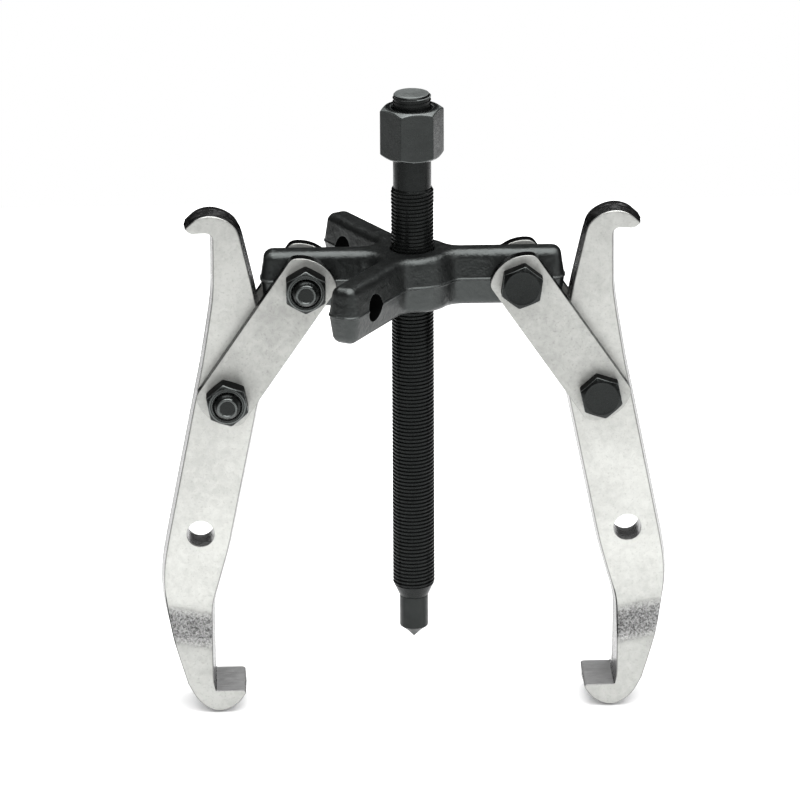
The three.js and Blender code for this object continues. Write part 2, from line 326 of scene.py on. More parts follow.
def plated_material(name, light, dark, side, edge_shade, grain, forged=False):
    """Satin plating over a rolled or forged surface.

    light and dark are the greys of its mottling, side is the painted shade grey of the faces
    that look away from Y, and the edge shade says how far the rounded edges before those are
    darkened by painted shade.
    grain is a (noise scale, depth in metres) pair."""
    material, nodes = new_material(name)
    facing = nodes.facing()
    sideways, forward = nodes.size(facing["X"]), nodes.size(facing["Y"])
    aside = nodes.ramp(forward, 0.35, 0.75, 1.0, 0.0)
    mottle = nodes.noise(330, 5, 0.65, 0.5)
    tone = nodes.plus(nodes.times(nodes.noise(60, 3, 0.5), 0.4), nodes.times(mottle, 0.6))
    colour = nodes.mix(nodes.ramp(tone, 0.38, 0.60), silver(dark), silver(light))
    specks = nodes.ramp(nodes.noise(1100, 2, 0.5), 0.58, 0.70, 0.0, 0.35)
    colour = nodes.mix(specks, colour, silver(dark * 0.6))
    # Painted shade: the faces that look away from Y get the darker side grey.
    colour = nodes.mix(aside, colour, nodes.ramp(mottle, 0.3, 0.7, side * 0.7, side * 1.2))
    # Painted shade: the rounded edges between the front and the sides are darkened.
    edge = nodes.times(nodes.ramp(sideways, 0.15, 0.4), nodes.ramp(forward, 0.3, 0.5))
    colour = nodes.mix(nodes.times(edge, edge_shade), colour, grey(0.02))
    rough = nodes.ramp(mottle, 0.3, 0.7, PLATING_ROUGHNESS - 0.08, PLATING_ROUGHNESS + 0.08)
    waves = nodes.bump(nodes.noise(110, 2, 0.5), 0.0003, 0.3)
    scale, depth = grain
    look = {
        "Base Color": colour,
        "Metallic": nodes.ramp(aside, 0.0, 1.0, 0.62, 1.0),
        "Roughness": nodes.minus(rough, nodes.times(aside, 0.12)),
        "Normal": nodes.bump(nodes.noise(scale, 4, 0.6), depth, 0.6, waves),
    }
    if forged:
        mark_forging(nodes, look, aside)
    nodes.surface(nodes.add("ShaderNodeBsdfPrincipled", look))
    return material


def mark_forging(nodes, look, aside):
    """Changes a jaw's look: painted shade on the foot and the upper bar, a coarse ramp with
    painted shade on its edges that face -X, painted light in the spare hole and a ground gripping
    face. aside is 1 where it looks away from Y."""
    facing, height = nodes.facing(), nodes.height()
    front = nodes.minus(1.0, aside)

    def tint(share, colour):
        look["Base Color"] = nodes.mix(share, look["Base Color"], colour)

    # Painted shade: the front darkens by height near the foot and on the upper bar.
    height_shade = nodes.plus(nodes.ramp(height, *SHADED_FOOT_TOP, 0.22, 0.0),
                      nodes.ramp(height, *SHADED_BAR_BOTTOM, 0.0, 0.20))
    tint(nodes.times(height_shade, front), grey(0.05))

    low = nodes.ramp(height, *RAMP_TOP, 1.0, 0.0)
    tilted = nodes.ramp(facing["Z"], 0.12, 0.42)
    on_ramp = nodes.times(nodes.times(low, tilted), front)
    coarse = nodes.ramp(nodes.noise(1250, 3, 0.75), 0.38, 0.62)
    look["Normal"] = nodes.bump(coarse, 0.00034, on_ramp, look["Normal"])
    tint(nodes.times(on_ramp, 0.9), nodes.mix(coarse, grey(0.06), grey(0.52)))

    # Painted shade: faces turned towards -X on the ramp are painted near black, as if lit from
    # the right.
    left_shade = nodes.times(nodes.ramp(facing["X"], -0.3, -0.06, 1.0, 0.0), low)
    left_shade = nodes.times(left_shade, nodes.ramp(height, *LEFT_SHADE_BOTTOM))
    tint(nodes.times(left_shade, front), grey(0.01))

    # Painted light: the up-facing wall in the spare hole gets a flat, less metallic grey that
    # shows lit.
    bore = nodes.times(nodes.ramp(height, *SPARE_HOLE_BOTTOM),
                       nodes.ramp(height, *SPARE_HOLE_TOP, 1.0, 0.0))
    bore = nodes.times(nodes.times(bore, nodes.ramp(facing["Z"], 0.1, 0.5)), aside)
    tint(bore, grey(0.16))

    foot = nodes.ramp(height, *GRIP_FACE_TOP, 1.0, 0.0)
    ground = nodes.times(foot, nodes.ramp(facing["Z"], 0.75, 0.9))
    scratches = nodes.noise(900, 3, 0.6, 0.0, (0.25, 1.0, 1.0))
    tint(ground, nodes.ramp(scratches, 0.35, 0.65, 0.28, 0.36))
    look["Roughness"] = nodes.plus(look["Roughness"], nodes.times(ground, 0.2))
    metal = nodes.minus(look["Metallic"], nodes.times(bore, 0.7))
    look["Metallic"] = nodes.minus(metal, nodes.times(ground, 0.4))


def black_material(name, base, roughness, specular, grain, lumps=0.0004, worn=0.0):
    """Black oxide or a black coating, with base its grey.

    grain is a (noise scale, depth in metres) pair and lumps the depth of wider waves.
    worn is the grey of the outer edges, on a piece with a fine enough mesh."""
    material, nodes = new_material(name)
    cloud = nodes.ramp(nodes.noise(90, 4, 0.6), 0.35, 0.68)
    mottle = nodes.noise(520, 5, 0.6, 0.3)
    colour = nodes.mix(cloud, black(base * 0.72), black(base * 1.3))
    if worn:
        patches = nodes.ramp(mottle, 0.36, 0.6, 0.25, 1.0)
        rubbed = nodes.times(nodes.edges(0.53, 0.6), patches)
        colour = nodes.mix(rubbed, colour, black(worn))
    waves = nodes.bump(nodes.noise(160, 3, 0.55), lumps, 0.4)
    scale, depth = grain
    nodes.surface(nodes.add("ShaderNodeBsdfPrincipled", {
        "Base Color": colour,
        "Metallic": 0.0,
        "Roughness": nodes.ramp(mottle, 0.3, 0.7, roughness - 0.07, roughness + 0.07),
        "Specular IOR Level": specular,
        "Specular Tint": black(1.0),
        "Normal": nodes.bump(nodes.noise(scale, 5, 0.62), depth, 0.55, waves),
    }))
    return material


def bearing_material():
    material, nodes = new_material("bearing_steel")
    mottle = nodes.noise(700, 4, 0.5)
    nodes.surface(nodes.add("ShaderNodeBsdfPrincipled", {
        "Base Color": nodes.mix(mottle, grey(0.55), grey(0.68)),
        "Metallic": 1.0,
        "Roughness": nodes.ramp(mottle, 0.3, 0.7, 0.12, 0.24),
        "Normal": nodes.bump(nodes.noise(2400, 3), 0.00002, 0.3),
    }))
    return material


# The side grey and the edge darkening of these platings are painted shade.
PLATED_FORGING = plated_material("plated_forging", light=0.57, dark=0.44, side=0.22, edge_shade=0.5,
                                 grain=(1500, 0.00012), forged=True)
PLATED_LINK = plated_material("plated_link", light=0.455, dark=0.335, side=0.04, edge_shade=0.2,
                              grain=(2100, 0.00010))

# Base grey, roughness, specular level, grain.
BLACK_FORGING = black_material("black_forging", 0.004, 0.38, 0.70, (620, 0.0004),
                               lumps=0.0010, worn=0.07)
BLACK_SCREW = black_material("black_screw", 0.004, 0.26, 0.21, (1800, 0.00004))
BLACK_OXIDE = black_material("black_oxide", 0.008, 0.30, 0.44, (1600, 0.00003))
BLACK_TIP = black_material("black_tip", 0.014, 0.40, 0.22, (1300, 0.00005))
BLACK_FASTENER = black_material("black_fastener", 0.004, 0.26, 0.27, (1300, 0.00007))
# Painted shade: a black that mirrors almost nothing, for the walls of holes and the sides of
# bolts and nuts.
SHADE_BLACK = black_material("painted_shade_black", 0.002, 0.50, 0.04, (1600, 0.00005))
RUBBED_OXIDE = black_material("rubbed_oxide", 0.03, 0.28, 1.0, (1600, 0.00005))
# Partly wear, partly painted reflection: a lighter grey for the up-facing ends of the screw and
# the drive hexagon.
WORN_LIT_END = black_material("worn_end_painted_reflection", 0.09, 0.45, 0.5, (900, 0.00008))
BEARING_STEEL = bearing_material()

# -------------------- mesh helpers

# Which of a piece's other materials a face gets; without one it gets the main material.
FIRST_OTHER = 1
SECOND_OTHER = 2

LEAST_GAP = 0.05
CORNER_STEPS = 7
HOLE_STEPS = 40


def new_object(name, points, faces, place):
    """A mesh from points in millimetres, put in place and turned into metres."""
    mesh = bpy.data.meshes.new(name)
    mesh.from_pydata([tuple(p) for p in points], [], faces)
    mesh.transform(Matrix.Scale(MM, 4) @ place)
    shell = bmesh.new()
    shell.from_mesh(mesh)
    bmesh.ops.recalc_face_normals(shell, faces=shell.faces)
    shell.to_mesh(mesh)
    shell.free()
    obj = bpy.data.objects.new(name, mesh)
    bpy.context.scene.collection.objects.link(obj)
    return obj


def apply_modifiers(obj):
    """Bakes the modifiers of obj into its mesh."""
    graph = bpy.context.evaluated_depsgraph_get()
    mesh = bpy.data.meshes.new_from_object(obj.evaluated_get(graph))
    obj.modifiers.clear()
    obj.data = mesh


def combine(obj, operation, *others):
    """Joins to, cuts from or keeps the common part of obj; the others are used up."""
    for other in others:
        modifier = obj.modifiers.new(operation, "BOOLEAN")
        modifier.operation = operation
        modifier.solver = "MANIFOLD"
        modifier.object = other
        apply_modifiers(obj)
        bpy.data.objects.remove(other)
    return obj


def soften(obj, width, limit):
    """Rounds the edges sharper than limit degrees; the new faces get the first other material."""
    while len(obj.data.materials) < 2:
        obj.data.materials.append(None)
    bevel = obj.modifiers.new("edges", "BEVEL")
    bevel.material = FIRST_OTHER
    bevel.limit_method = "ANGLE"
    bevel.angle_limit = math.radians(limit)
    bevel.width = width * MM
    bevel.segments = 2
    bevel.miter_outer = "MITER_ARC"
    apply_modifiers(obj)


def mark_faces(obj, index, test):
    """Gives a material to the faces whose (middle in millimetres, normal) pass the test."""
    for face in obj.data.polygons:
        if test(face.center / MM, face.normal):
            face.material_index = index


def dress(obj, material, node, smooth, others=()):
    """Gives obj its materials, shading that is smooth up to smooth degrees, and its CAD body."""
    indices = [face.material_index for face in obj.data.polygons]
    obj.data.materials.clear()
    for each in (material, *others):
        obj.data.materials.append(each)
    obj.data.polygons.foreach_set("material_index", indices)
    obj.data.shade_smooth()
    obj.data.set_sharp_from_angle(angle=math.radians(smooth))
    flat = obj.modifiers.new("normals", "WEIGHTED_NORMAL")
    flat.keep_sharp = True
    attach(obj, frame["nodes"][node]["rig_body"])
    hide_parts(node)


def skin(rings, close=False, start=None, end=None):
    """Faces between rings of as many points each; start and end points close the ends."""
    count = len(rings[0])
    points = [p for ring in rings for p in ring]
    faces = []
    pairs = [(k, k + 1) for k in range(len(rings) - 1)]
    if close:
        pairs.append((len(rings) - 1, 0))
    for a, b in pairs:
        for i in range(count):
            j = (i + 1) % count
            faces.append((a * count + i, a * count + j, b * count + j, b * count + i))
    for tip, ring in ((start, 0), (end, len(rings) - 1)):
        if tip is not None:
            points.append(tip)
            last = len(points) - 1
            for i in range(count):
                faces.append((ring * count + i, ring * count + (i + 1) % count, last))
    return points, faces


def around(radius, angle):
    return radius * math.cos(angle), radius * math.sin(angle)


def circle(radius, count):
    """Points round the origin, anticlockwise."""
    return [around(radius, 2 * math.pi * i / count) for i in range(count)]


def turned(name, profile, count=64, close=False, place=Matrix.Identity(4)):
    """A solid of revolution about Z from (radius, height) pairs; radius 0 closes an end."""
    tips = [None, None]
    if not close:
        tips = [(0, 0, profile[0][1]), (0, 0, profile[-1][1])]
        profile = profile[1:-1]
    rings = [[(x, y, height) for x, y in circle(radius, count)] for radius, height in profile]
    return new_object(name, *skin(rings, close, *tips), place)


def thread_rod(name, radius, pitch, start, end, count=48, place=Matrix.Identity(4)):
    """A rod with a helical 60 degree thread, longer than start to end by its run-out."""
    root = radius - THREAD_DEPTH * pitch
    profile = [(0.0, radius), (0.125, radius), (0.4375, root), (0.6875, root)]
    per_turn = len(profile)
    turns = math.ceil((end - start) / pitch) + 1
    rows = turns * per_turn + 1
    points, index = [], {}
    for i in range(count):
        angle = 2 * math.pi * i / count
        for j in range(rows + (per_turn if i == 0 else 0)):
            share, r = profile[j % per_turn]
            z = start - pitch + pitch * (j // per_turn + share + i / count)
            index[i, j] = len(points)
            points.append((*around(r, angle), z))
    faces = []
    for i in range(count):
        column, lift = (i + 1, 0) if i + 1 < count else (0, per_turn)
        for j in range(rows - 1):
            faces.append((index[i, j], index[column, j + lift],
                          index[column, j + 1 + lift], index[i, j + 1]))
    for row in (0, rows - 1):
        loop = [index[i, row] for i in range(count)]
        loop += [index[0, row + k] for k in range(per_turn, 0, -1)]
        tip = len(points)
        points.append((0, 0, points[loop[0]][2] + pitch / 2))
        faces += [(loop[k], loop[(k + 1) % len(loop)], tip) for k in range(len(loop))]
    return new_object(name, points, faces, place)


def catmull(points, steps):
    """A Catmull-Rom curve through the points, without its first point."""
    line = []
    for i in range(len(points) - 1):
        p0, p1 = points[max(i - 1, 0)], points[i]
        p2, p3 = points[i + 1], points[min(i + 2, len(points) - 1)]
        for k in range(1, steps + 1):
            t = k / steps
            at = []
            for a, b, c, d in zip(p0, p1, p2, p3):
                v0, v1 = (c - a) / 2, (d - b) / 2
                at.append((2 * b - 2 * c + v0 + v1) * t ** 3
                          + (3 * c - 3 * b - 2 * v0 - v1) * t ** 2 + v0 * t + b)
            line.append(tuple(at))
    return line


def arc(centre, radius, start, end, step):
    """Points of an arc; angles in radians, step in degrees."""
    count = max(2, math.ceil(abs(math.degrees(end - start)) / step))
    offsets = [around(radius, start + (end - start) * k / count) for k in range(count + 1)]
    return [(centre[0] + x, centre[1] + y) for x, y in offsets]


def tidy_loop(points):
    """The loop without points that are closer together than LEAST_GAP."""
    kept = []
    for p in points:
        if not kept or math.dist(kept[-1], p) > LEAST_GAP:
            kept.append(p)
    while math.dist(kept[0], kept[-1]) <= LEAST_GAP:
        kept.pop()
    return kept


def between(start, end, share):
    """The 2-D point that share of the way from start to end."""
    return tuple(a + (b - a) * share for a, b in zip(start, end))


def resample(points, spacing):
    """The loop with long stretches split, so that no edge is longer than spacing."""
    out = []
    for a, b in zip(points, points[1:] + points[:1]):
        count = max(1, math.ceil(math.dist(a, b) / spacing))
        out += [between(a, b, k / count) for k in range(count)]
    return out


def round_corner(points, corner, reach):
    """Replaces the corner nearest to the given point by a curve that starts reach away."""
    count = len(points)
    at = min(range(count), key=lambda i: math.dist(points[i], corner))
    tip = points[at]

    def walk(direction):
        left, i = reach, at
        while True:
            j = (i + direction) % count
            length = math.dist(points[i], points[j])
            if length >= left:
                return j, between(points[i], points[j], left / length)
            left -= length
            i = j

    before, first = walk(-1)
    after, last = walk(1)
    shares = [k / CORNER_STEPS for k in range(CORNER_STEPS + 1)]
    curve = [between(between(first, tip, t), between(tip, last, t), t) for t in shares]
    kept, i = [], after
    while True:
        kept.append(points[i])
        if i == before:
            break
        i = (i + 1) % count
    return tidy_loop(curve + kept)


def offset_loop(points, distance, shares=None):
    """The loop moved sideways: inwards if it runs anticlockwise and distance is positive.

    shares, one for each point, say how much of the distance each point moves."""
    count = len(points)
    moved = []
    for i in range(count):
        before, here, after = points[i - 1], points[i], points[(i + 1) % count]
        n1 = np.array([-(here[1] - before[1]), here[0] - before[0]])
        n2 = np.array([-(after[1] - here[1]), after[0] - here[0]])
        n1 = n1 / np.linalg.norm(n1)
        n2 = n2 / np.linalg.norm(n2)
        normal = n1 + n2
        normal = normal / max(normal @ normal, 1e-9) * 2
        normal = normal * distance * (shares[i] if shares else 1)
        moved.append((here[0] + normal[0], here[1] + normal[1]))
    return moved


def inside(points, loop):
    """Which of the points lie in the loop."""
    x, y = points[:, 0][:, None], points[:, 1][:, None]
    a = np.array(loop)
    b = np.roll(a, -1, 0)
    crosses = (a[:, 1] > y) != (b[:, 1] > y)
    slope = (b[:, 0] - a[:, 0]) / np.where(b[:, 1] == a[:, 1], 1e-12, b[:, 1] - a[:, 1])
    hits = crosses & (x < a[:, 0] + slope * (y - a[:, 1]))
    return hits.sum(1) % 2 == 1


def gap_to(points, loops):
    """Each point's distance to the nearest corner of the loops."""
    corners = np.array([p for loop in loops for p in loop])
    return np.sqrt(((points[:, None, :] - corners[None]) ** 2).sum(2).min(1))


def filled(outer, holes, spacing):
    """Triangles that fill the outer loop round its holes: (2-D points, triangles).

    The points begin with the outer loop and then each hole's."""
    loops = [outer, *holes]
    low, high = np.min(outer, 0), np.max(outer, 0)
    half = spacing / 2
    xs = np.arange(low[0] + half, high[0], spacing)
    ys = np.arange(low[1] + half, high[1], spacing * 0.866)
    lattice = np.array([(x + half * (k % 2), y) for k, y in enumerate(ys) for x in xs])
    keep = inside(lattice, outer)
    for hole in holes:
        keep &= ~inside(lattice, hole)
    lattice = lattice[keep]
    lattice = lattice[gap_to(lattice, loops) > spacing * 0.6]
    points, edges = [], []
    for loop in loops:
        first, count = len(points), len(loop)
        points += [Vector(p) for p in loop]
        edges += [(first + i, first + (i + 1) % count) for i in range(count)]
    points += [Vector(p) for p in lattice]
    _, _, triangles, origin, _, _ = delaunay_2d_cdt(points, edges, [], 0, 1e-7)
    source = [o[0] for o in origin]
    triangles = [tuple(source[i] for i in t) for t in triangles]
    flat = np.array([tuple(p) for p in points])
    corners = np.array([flat[list(t)] for t in triangles])
    middles = corners.mean(1)
    one, two = corners[:, 1] - corners[:, 0], corners[:, 2] - corners[:, 0]
    doubled_area = np.abs(one[:, 0] * two[:, 1] - one[:, 1] * two[:, 0])
    keep = inside(middles, outer) & (doubled_area > 1e-6)  # no slivers along straight edges
    for hole in holes:
        keep &= ~inside(middles, hole)
    return flat, [t for t, k in zip(triangles, keep) if k]


def plate(name, outer, holes, profile, hole_profile, half, spacing, to_point, place, shares=None):
    """A plate whose two faces mirror each other, with shaped edges.

    profile is a list of (inset, drop) from the wall to the face: how far in from the
    outline, and how far below the face, or above the middle if it is negative.
    half(x, y) is half the thickness there. to_point(x, y, height) gives the 3-D point."""
    outer_rings = [offset_loop(outer, inset, shares) for inset, _ in profile]
    hole_rings = [[offset_loop(hole, -inset) for inset, _ in hole_profile] for hole in holes]
    flat, triangles = filled(outer_rings[-1], [rings[-1] for rings in hole_rings], spacing)
    points, faces = [], []

    def add(line, drop, side):
        first = len(points)
        for x, y in line:
            height = half(x, y) - drop if drop >= 0 else -drop
            points.append(to_point(x, y, side * height))
        return first

    face_starts = {}
    for side in (1, -1):
        face_starts[side] = add(flat, 0.0, side)
        faces += [tuple(face_starts[side] + i for i in t) for t in triangles]
    begin = 0
    for rings, shape in [(outer_rings, profile)] + [(r, hole_profile) for r in hole_rings]:
        count = len(rings[-1])
        starts = [face_starts[1] + begin]
        starts += [add(rings[k], shape[k][1], 1) for k in range(len(rings) - 2, -1, -1)]
        starts += [add(rings[k], shape[k][1], -1) for k in range(len(rings) - 1)]
        starts.append(face_starts[-1] + begin)
        begin += count
        for a, b in zip(starts, starts[1:]):
            for i in range(count):
                j = (i + 1) % count
                faces.append((a + i, a + j, b + j, b + i))
    return new_object(name, points, faces, place)


def rounding(radius, steps, inset=0.0):
    """A quarter-round edge as (inset, drop) pairs."""
    pairs = []
    for k in range(steps + 1):
        a = math.pi / 2 * k / steps
        pairs.append((inset + radius * (1 - math.cos(a)), radius * (1 - math.sin(a))))
    return pairs


def hole_loop(drop):
    """The outline of a bolt hole that far below the pivot, anticlockwise."""
    return [(x, y - drop) for x, y in circle(HOLE_RADIUS, HOLE_STEPS)]


# -------------------- yoke


def yoke_outline():
    """The yoke from above at its parting line, anticlockwise."""
    quarter = math.pi / 2
    aside, blend = ARM_HALF_WIDTH + HUB_FILLET, HUB_RADIUS + HUB_FILLET
    spread = math.atan2(aside, math.sqrt(blend ** 2 - aside ** 2))
    reach, side = ARM_REACH - ARM_CORNER, ARM_HALF_WIDTH - ARM_CORNER
    lean, length = math.atan2(side, reach), math.hypot(side, reach)
    line = []
    for degrees, next_degrees in zip(ARM_ANGLES, ARM_ANGLES[1:] + [ARM_ANGLES[0] + 360]):
        arm, following = math.radians(degrees), math.radians(next_degrees)
        line += arc(around(length, arm - lean), ARM_CORNER, arm - quarter, arm, 9)
        line += arc(around(length, arm + lean), ARM_CORNER, arm, arm + quarter, 9)
        if next_degrees - degrees < 85:
            half = (following - arm) / 2
            centre = around(aside / math.sin(half), arm + half)
            line += arc(centre, HUB_FILLET, arm - quarter, following + quarter - 2 * math.pi, 9)
        else:
            first, second = arm + spread, following - spread
            line += arc(around(blend, first), HUB_FILLET, arm - quarter, first - math.pi, 9)
            line += arc((0, 0), HUB_RADIUS, first, second, 5)
            line += arc(around(blend, second), HUB_FILLET, second + math.pi,
                        following + quarter, 9)
    return tidy_loop(line)


def build_yoke():
    """A forging with its parting line at mid height and well rounded edges."""
    half_height = YOKE_HEIGHT / 2
    edge, draft, ridge = 3.4, 1.0, 0.35
    wall_start = half_height - 0.6
    profile = [(0, half_height - 0.2), (ridge, wall_start)]
    profile += [(ridge + draft * k / 3, wall_start - (wall_start - edge) * k / 3) for k in (1, 2)]
    profile += rounding(edge, 7, ridge + draft)
    spacing = 3.0
    outline = resample(yoke_outline(), spacing)
    body = plate("yoke_forging", outline, [], profile, [], lambda x, y: half_height, spacing,
                 lambda x, y, h: (x, y, h), Matrix.Identity(4))
    bore, flare = SCREW_RADIUS + BORE_CLEARANCE, 0.4
    top = half_height + 1
    cutters = [turned("bore", [
        (0, -top), (bore + flare + 1, -top), (bore, -half_height + flare),
        (bore, half_height - flare), (bore + flare + 1, top), (0, top)])]
    reach = ARM_HALF_WIDTH + 2
    across = Matrix.Translation((PIVOT_REACH, 0, 0)) @ Matrix.Rotation(math.pi / 2, 4, "X")
    for degrees in ARM_ANGLES:
        place = Matrix.Rotation(math.radians(degrees), 4, "Z") @ across
        hole = [(0, -reach), (HOLE_RADIUS, -reach), (HOLE_RADIUS, reach), (0, reach)]
        cutters.append(turned("arm_hole", hole, 48, place=place))
    combine(body, "DIFFERENCE", *cutters)

    def in_a_bore(middle, normal):
        for degrees in ARM_ANGLES:
            turn = Matrix.Rotation(-math.radians(degrees), 3, "Z")
            there, facing = turn @ middle, turn @ normal
            distance = math.hypot(there.x - PIVOT_REACH, there.z)
            if distance < HOLE_RADIUS + 0.1 and abs(facing.y) < 0.5:
                return True
        return math.hypot(middle.x, middle.y) < bore + 0.1 and abs(normal.z) < 0.5

    # Painted shade: the walls of the bore and of the arm holes get the black that mirrors almost
    # nothing.
    mark_faces(body, FIRST_OTHER, in_a_bore)
    body.data.transform(Matrix.Translation((0, 0, PIVOT_HEIGHT * MM)))
    dress(body, BLACK_FORGING, "yoke", 32, [SHADE_BLACK])


# -------------------- screw and tip

TIP_RADIUS = 5.3
TIP_JOINT_GAP = 0.14
CREST_WEAR = 0.15
SHANK_RADIUS = 3.2
SHANK_TOP = TIP_TOP + 12
GROOVE_BOTTOM = TIP_TOP + 7
GROOVE_TOP = GROOVE_BOTTOM + 1.9
SHANK_GROOVE_RADIUS = 2.3
RING_OUTER_RADIUS = 4.1
BALL_RADIUS = 3.1
SOCKET_GAP = GAP + 0.05
SOCKET_RADIUS = SHANK_RADIUS + SOCKET_GAP
SOCKET_TOP = SHANK_TOP + GAP + 2 * BALL_RADIUS + GAP


def build_screw():
    """The fine thread, the plain neck, the stub above the hexagon and the tip's socket."""
    bottom = TIP_TOP + TIP_JOINT_GAP
    root = SCREW_RADIUS - THREAD_DEPTH * SCREW_PITCH
    crest = SCREW_RADIUS - CREST_WEAR
    rod = thread_rod("screw_body", SCREW_RADIUS, SCREW_PITCH, bottom - 4, THREAD_TOP + 6)
    combine(rod, "INTERSECT", turned("envelope", [
        (0, bottom), (TIP_RADIUS, bottom), (TIP_RADIUS + 0.15, bottom + 0.15),
        (crest, TAPER_TOP), (crest, THREAD_TOP - 1.2), (root + 0.05, THREAD_TOP),
        (0, THREAD_TOP)], 96))
    core, stub_foot = root - 0.3, STUB_RADIUS - 0.05
    neck = turned("neck", [
        (0, THREAD_TOP - 3), (core, THREAD_TOP - 3), (core, THREAD_TOP - 0.8),
        (NECK_RADIUS, THREAD_TOP - 0.3), (NECK_RADIUS, HEX_TOP - 2), (stub_foot, HEX_TOP - 1.8),
        (stub_foot, HEX_TOP + 0.1), (0, HEX_TOP + 0.1)], 96)
    combine(rod, "UNION", neck, build_stub())
    pocket = RING_OUTER_RADIUS + SOCKET_GAP
    combine(rod, "DIFFERENCE", turned("socket", [
        (0, bottom - 1), (SOCKET_RADIUS, bottom - 1), (SOCKET_RADIUS, GROOVE_BOTTOM),
        (pocket, GROOVE_BOTTOM), (pocket, GROOVE_TOP), (SOCKET_RADIUS, GROOVE_TOP),
        (SOCKET_RADIUS, SOCKET_TOP), (0, SOCKET_TOP + 1.5)], 48))
    end = SCREW_TOP - 1.2
    # Partly wear, partly painted reflection: the stub's top face gets the lighter end grey.
    mark_faces(rod, FIRST_OTHER, lambda middle, normal: middle.z > end and normal.z > 0.6)
    dress(rod, BLACK_SCREW, "forcing_screw", 28, [WORN_LIT_END])


def build_stub():
    """The threaded end above the hexagon, its thread worn shallow and its end chamfered."""
    foot = HEX_TOP - 1.5
    outside, core = STUB_RADIUS + 0.1, STUB_RADIUS - 0.35
    stub = thread_rod("stub", STUB_RADIUS, SCREW_PITCH, HEX_TOP - 3, SCREW_TOP + 3)
    combine(stub, "INTERSECT", turned("stub_envelope", [
        (0, foot), (outside, foot), (outside, SCREW_TOP - 1.1),
        (STUB_RADIUS - 0.85, SCREW_TOP - 0.12), (STUB_RADIUS - 1.15, SCREW_TOP),
        (0, SCREW_TOP)], 96))
    return combine(stub, "UNION", turned("stub_core", [
        (0, foot), (core, foot), (core, SCREW_TOP - 0.9),
        (STUB_RADIUS - 0.86, SCREW_TOP - 0.14), (0, SCREW_TOP - 0.14)], 96))


def build_tip():
    """The pointed tip with the shank and groove that keep it in the screw."""
    tip = turned("pressure_tip", [
        (0, TIP_POINT), (0.35, TIP_POINT + 0.25), (2.8, TIP_INNER_CONE),
        (TIP_RADIUS - 0.3, TIP_SHOULDER - 0.22), (TIP_RADIUS - 0.08, TIP_SHOULDER),
        (TIP_RADIUS, TIP_SHOULDER + 0.3), (TIP_RADIUS, TIP_TOP - 0.15),
        (TIP_RADIUS - 0.15, TIP_TOP), (SHANK_RADIUS, TIP_TOP), (SHANK_RADIUS, GROOVE_BOTTOM),
        (SHANK_GROOVE_RADIUS, GROOVE_BOTTOM), (SHANK_GROOVE_RADIUS, GROOVE_TOP),
        (SHANK_RADIUS, GROOVE_TOP), (SHANK_RADIUS, SHANK_TOP - 0.4),
        (SHANK_RADIUS - 0.4, SHANK_TOP), (0, SHANK_TOP)], 72)
    dress(tip, BLACK_TIP, "swivel_tip", 25)


def build_ring():
    inner = SHANK_GROOVE_RADIUS + SOCKET_GAP
    low, high = GROOVE_BOTTOM + GAP, GROOVE_TOP - GAP
    middle, thick, wide = (low + high) / 2, (high - low) / 2, (RING_OUTER_RADIUS - inner) / 2
    angles = [2 * math.pi * k / 16 for k in range(16)]
    profile = [(inner + wide + wide * math.cos(a), middle + thick * math.sin(a)) for a in angles]
    ring = turned("wire_ring", profile, 48, close=True)
    dress(ring, BEARING_STEEL, "tip_retaining_ring", 60)


def build_ball():
    centre = SHANK_TOP + GAP + BALL_RADIUS
    angles = [math.pi * k / 20 for k in range(21)]
    profile = [(BALL_RADIUS * math.sin(a), centre - BALL_RADIUS * math.cos(a)) for a in angles]
    ball = turned("bearing_ball", profile, 40)
    dress(ball, BEARING_STEEL, "thrust_ball", 60)


# -------------------- hexagons

ALONG_Y = Matrix.Rotation(-math.pi / 2, 4, "X")


def hex_outline(across_flats):
    """A hexagon with slightly rounded corners, a corner towards +Y, anticlockwise."""
    corner, flat_steps = 0.8, 8
    apothem = across_flats / 2
    half_flat = (apothem - corner) * math.tan(math.pi / 6)
    line = []
    for k in range(6):
        facing = math.radians(120 + 60 * k)
        n, t = around(1, facing), around(1, facing + math.pi / 2)
        for i in range(flat_steps + 1):
            s = half_flat * (2 * i / flat_steps - 1)
            line.append((n[0] * apothem + t[0] * s, n[1] * apothem + t[1] * s))
        centre = (n[0] * (apothem - corner) + t[0] * half_flat,
                  n[1] * (apothem - corner) + t[1] * half_flat)
        line += arc(centre, corner, facing, facing + math.pi / 3, 15)[1:-1]
    return tidy_loop(line)


def hex_rings(across_flats, height, face_share=0.92, steep=30, top_chamfer=True):
    """Rings from the bottom face up the sides of a hexagon to its top.

    Its ends are chamfered by cones that are steep degrees from flat and start at
    face_share of the way to the flats."""
    outline = hex_outline(across_flats)
    face = across_flats / 2 * face_share
    slope = math.tan(math.radians(steep))
    drops = [max(0.0, math.hypot(x, y) - face) * slope for x, y in outline]
    top_drops = drops if top_chamfer else [0.0] * len(drops)
    rings = [
        [(x, y, drop) for (x, y), drop in zip(outline, drops)],
        [(x, y, height - drop) for (x, y), drop in zip(outline, top_drops)],
    ]
    rings.insert(0, ring_like(rings, face, 0.0))
    if top_chamfer:
        rings.append(ring_like(rings, face, height))
    return rings


def ring_like(rings, radius, z):
    """A circle with its points at the same angles as those of the rings."""
    return [(radius * x / math.hypot(x, y), radius * y / math.hypot(x, y), z)
            for x, y, _ in rings[0]]


def bored(rings, bore, lip, height):
    """Faces of a hexagon with a bore whose ends are chamfered by lip: (points, faces)."""
    low, high = ring_like(rings, bore + lip, 0.0), ring_like(rings, bore + lip, height)
    wall = [ring_like(rings, bore, height - lip), ring_like(rings, bore, lip)]
    return skin([low, *rings, high, *wall], close=True)


